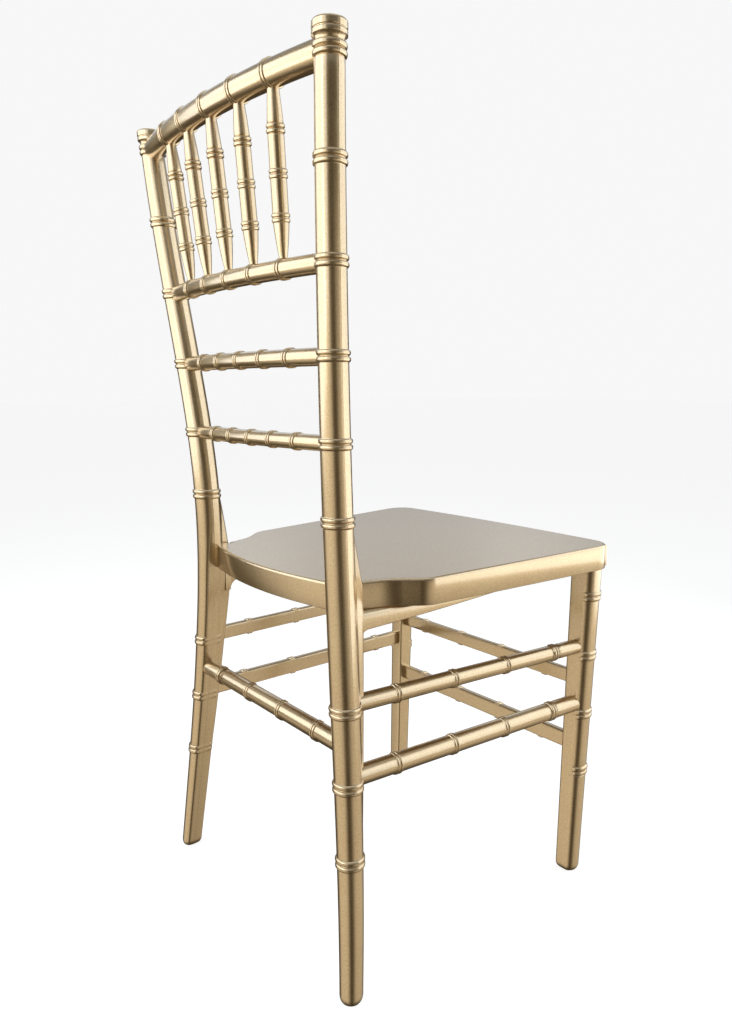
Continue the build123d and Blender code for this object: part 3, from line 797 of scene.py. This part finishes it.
# Camera, as fitted to the photograph: turn and pitch in degrees, focal length and image centre in pixels
YAW, PITCH = math.radians(38.41), math.radians(8.89)
EYE = (-769.2, 449.1, 608.4)
FOCAL = 804.0
CENTRE = (380.1, 515.0)
IMAGE = (732, 1024)
SENSOR = 36
TO_CAMERA = Vector((-math.cos(YAW), math.sin(YAW), 0))
TO_RIGHT = Vector((-math.sin(YAW), -math.cos(YAW), 0))
ahead = Vector((math.cos(YAW) * math.cos(PITCH), -math.sin(YAW) * math.cos(PITCH), -math.sin(PITCH)))
lens = bpy.data.cameras.new("camera")
lens.sensor_fit = "VERTICAL"
lens.sensor_height = SENSOR
lens.lens = FOCAL * SENSOR / IMAGE[1]
lens.shift_x = (IMAGE[0] / 2 - CENTRE[0]) / IMAGE[1]
lens.shift_y = (CENTRE[1] - IMAGE[1] / 2) / IMAGE[1]
camera = bpy.data.objects.new("camera", lens)
bpy.context.scene.collection.objects.link(camera)
facing = Matrix((TO_RIGHT, TO_RIGHT.cross(ahead), -ahead)).transposed().to_4x4()
camera.matrix_world = Matrix.Translation((Vector(EYE) + Vector((0, SHIFT, 0))) * MM) @ facing
bpy.context.scene.camera = camera
bpy.context.scene.view_settings.view_transform = "Standard"

# Floor: half its width in metres, and its own glow, which keeps it white under the chair
FLOOR_HALF = 40
FLOOR_GREY = (0.4, 0.4, 0.4, 1)
FLOOR_GLOW = 0.795
WHITE = (1, 1, 1, 1)
floor_signs = ((-1, -1), (1, -1), (1, 1), (-1, 1))
floor_corners = [(FLOOR_HALF * x, FLOOR_HALF * y, 0) for x, y in floor_signs]
floor = make_mesh("floor", floor_corners, [(0, 1, 2, 3)])
floor.visible_glossy = False
paint = bpy.data.materials.new("floor_paint")
paint.use_nodes = True
paint_shader = paint.node_tree.nodes["Principled BSDF"]
paint_shader.inputs["Base Color"].default_value = FLOOR_GREY
paint_shader.inputs["Roughness"].default_value = 0.9
paint_shader.inputs["Emission Color"].default_value = WHITE
paint_shader.inputs["Emission Strength"].default_value = FLOOR_GLOW
floor.data.materials.append(paint)

# Studio: patches of light around the chair, in degrees. Across: middle, counted to the camera's right,
# then half widths of the even part and of the whole. Upright: start, even part, end. Then colour and
# strength
SOFT_WHITE = (0.89, 0.95, 1.0, 1)
WARM_WHITE = (1.0, 0.9, 0.72, 1)
COOL_WHITE = (0.91, 0.95, 1.0, 1)
FAR_PATCH = (-172, 14, 36), (2, 12, 28, 45), COOL_WHITE, 0.62
SKY_PATCH = (0, 170, 180), (6, 20, 70, 90), SOFT_WHITE, 0.26
LEFT_FLOOR_PATCH = (-62, 26, 62), (-75, -25, -14, 2), WARM_WHITE, 0.82
RIGHT_FLOOR_PATCH = (82, 25, 68), (-75, -25, -14, 2), WARM_WHITE, 0.68
WARM_ROOM = (1.0, 0.68, 0.34, 1)
ROOM_GLOW = 0.04
BACKDROP_GLOW = 0.935

# Soft boxes around the chair's back as (name, turn to the camera's right in degrees, distance and height
# in metres, size, brightness), and the one above the chair
SIDE_BOXES = (
    ("left_box", -78, 1.3, 1.13, (2.1, 1.65), 1.9),
    ("fill_box", -32, 1.4, 1.1, (0.9, 1.4), 1.2),
    ("right_box", 96, 1.3, 0.82, (1.9, 1.5), 1.5),
)
TOP_BOX_HEIGHT = 3
TOP_BOX_SIZE = (2.4, 2.4)
TOP_BOX_BRIGHTNESS = 0.8

world = bpy.data.worlds.new("studio")
bpy.context.scene.world = world
world.use_nodes = True
world_nodes = world.node_tree.nodes
world_links = world.node_tree.links


def bearing(degrees):
    """The level direction that is turned from the camera toward its right by so many degrees."""
    turn = math.radians(degrees)
    return math.cos(turn) * TO_CAMERA + math.sin(turn) * TO_RIGHT


def math_node(operation, *values):
    """A node that works on numbers, vectors or other nodes' outputs."""
    vector = operation in ("NORMALIZE", "DOT_PRODUCT", "VECTOR_MULTIPLY")
    node = world_nodes.new("ShaderNodeVectorMath" if vector else "ShaderNodeMath")
    node.operation = operation.replace("VECTOR_", "")
    for socket, value in zip(node.inputs, values):
        if isinstance(value, bpy.types.NodeSocket):
            world_links.new(value, socket)
        else:
            socket.default_value = value
    return node.outputs["Value" if operation == "DOT_PRODUCT" or not vector else "Vector"]


def soft_step(value, start, end):
    """From nothing at start to full at end."""
    step = world_nodes.new("ShaderNodeMapRange")
    step.interpolation_type = "SMOOTHSTEP"
    step.inputs["From Min"].default_value = start
    step.inputs["From Max"].default_value = end
    world_links.new(value, step.inputs["Value"])
    return step.outputs["Result"]


def light_patch(direction, level, patch):
    """A soft-edged patch of light in the surroundings, as a shader output."""
    (middle, *half_widths), heights, colour, strength = patch
    even, whole = (math.cos(math.radians(angle)) for angle in half_widths)
    low, low_even, high_even, high = (math.sin(math.radians(angle)) for angle in heights)
    across = soft_step(math_node("DOT_PRODUCT", level, bearing(middle)), whole, even)
    rise = math_node("DOT_PRODUCT", direction, (0, 0, 1))
    fall = math_node("SUBTRACT", 1.0, soft_step(rise, high_even, high))
    upright = math_node("MULTIPLY", soft_step(rise, low, low_even), fall)
    amount = math_node("MULTIPLY", math_node("MULTIPLY", across, upright), strength)
    glow = world_nodes.new("ShaderNodeBackground")
    glow.inputs["Color"].default_value = colour
    world_links.new(amount, glow.inputs["Strength"])
    return glow.outputs["Background"]


def surroundings():
    """The dim room and its patches of light, added up."""
    direction = world_nodes.new("ShaderNodeTexCoord").outputs["Generated"]
    level = math_node("NORMALIZE", math_node("VECTOR_MULTIPLY", direction, (1, 1, 0)))
    room = world_nodes["Background"]
    room.inputs["Color"].default_value = WARM_ROOM
    room.inputs["Strength"].default_value = ROOM_GLOW
    light = room.outputs["Background"]
    for patch in (FAR_PATCH, SKY_PATCH, LEFT_FLOOR_PATCH, RIGHT_FLOOR_PATCH):
        both = world_nodes.new("ShaderNodeAddShader")
        world_links.new(light, both.inputs[0])
        world_links.new(light_patch(direction, level, patch), both.inputs[1])
        light = both.outputs["Shader"]
    return light


# The camera sees a plain white backdrop in place of the patches
backdrop = world_nodes.new("ShaderNodeBackground")
backdrop.inputs["Color"].default_value = WHITE
backdrop.inputs["Strength"].default_value = BACKDROP_GLOW
seen = world_nodes.new("ShaderNodeLightPath")
choose = world_nodes.new("ShaderNodeMixShader")
world_links.new(seen.outputs["Is Camera Ray"], choose.inputs["Fac"])
world_links.new(surroundings(), choose.inputs[1])
world_links.new(backdrop.outputs["Background"], choose.inputs[2])
world_links.new(choose.outputs["Shader"], world_nodes["World Output"].inputs["Surface"])


def soft_box(name, place, target, size, brightness):
    """A rectangular soft light of even brightness, out of the camera's sight."""
    data = bpy.data.lights.new(name, "AREA")
    data.shape = "RECTANGLE"
    data.size, data.size_y = size
    data.energy = brightness * math.pi * size[0] * size[1]
    data.color = SOFT_WHITE[:3]
    lamp = bpy.data.objects.new(name, data)
    bpy.context.scene.collection.objects.link(lamp)
    lamp.location = place
    lamp.rotation_euler = (target - place).to_track_quat("-Z", "Y").to_euler()
    lamp.visible_camera = False


for name, degrees, distance, box_z, box_size, brightness in SIDE_BOXES:
    back = Vector((0, SHIFT * MM, box_z))
    soft_box(name, back + distance * bearing(degrees), back, box_size, brightness)
soft_box("top_box", Vector((0, 0, TOP_BOX_HEIGHT)), Vector((0, 0, 0)), TOP_BOX_SIZE, TOP_BOX_BRIGHTNESS)
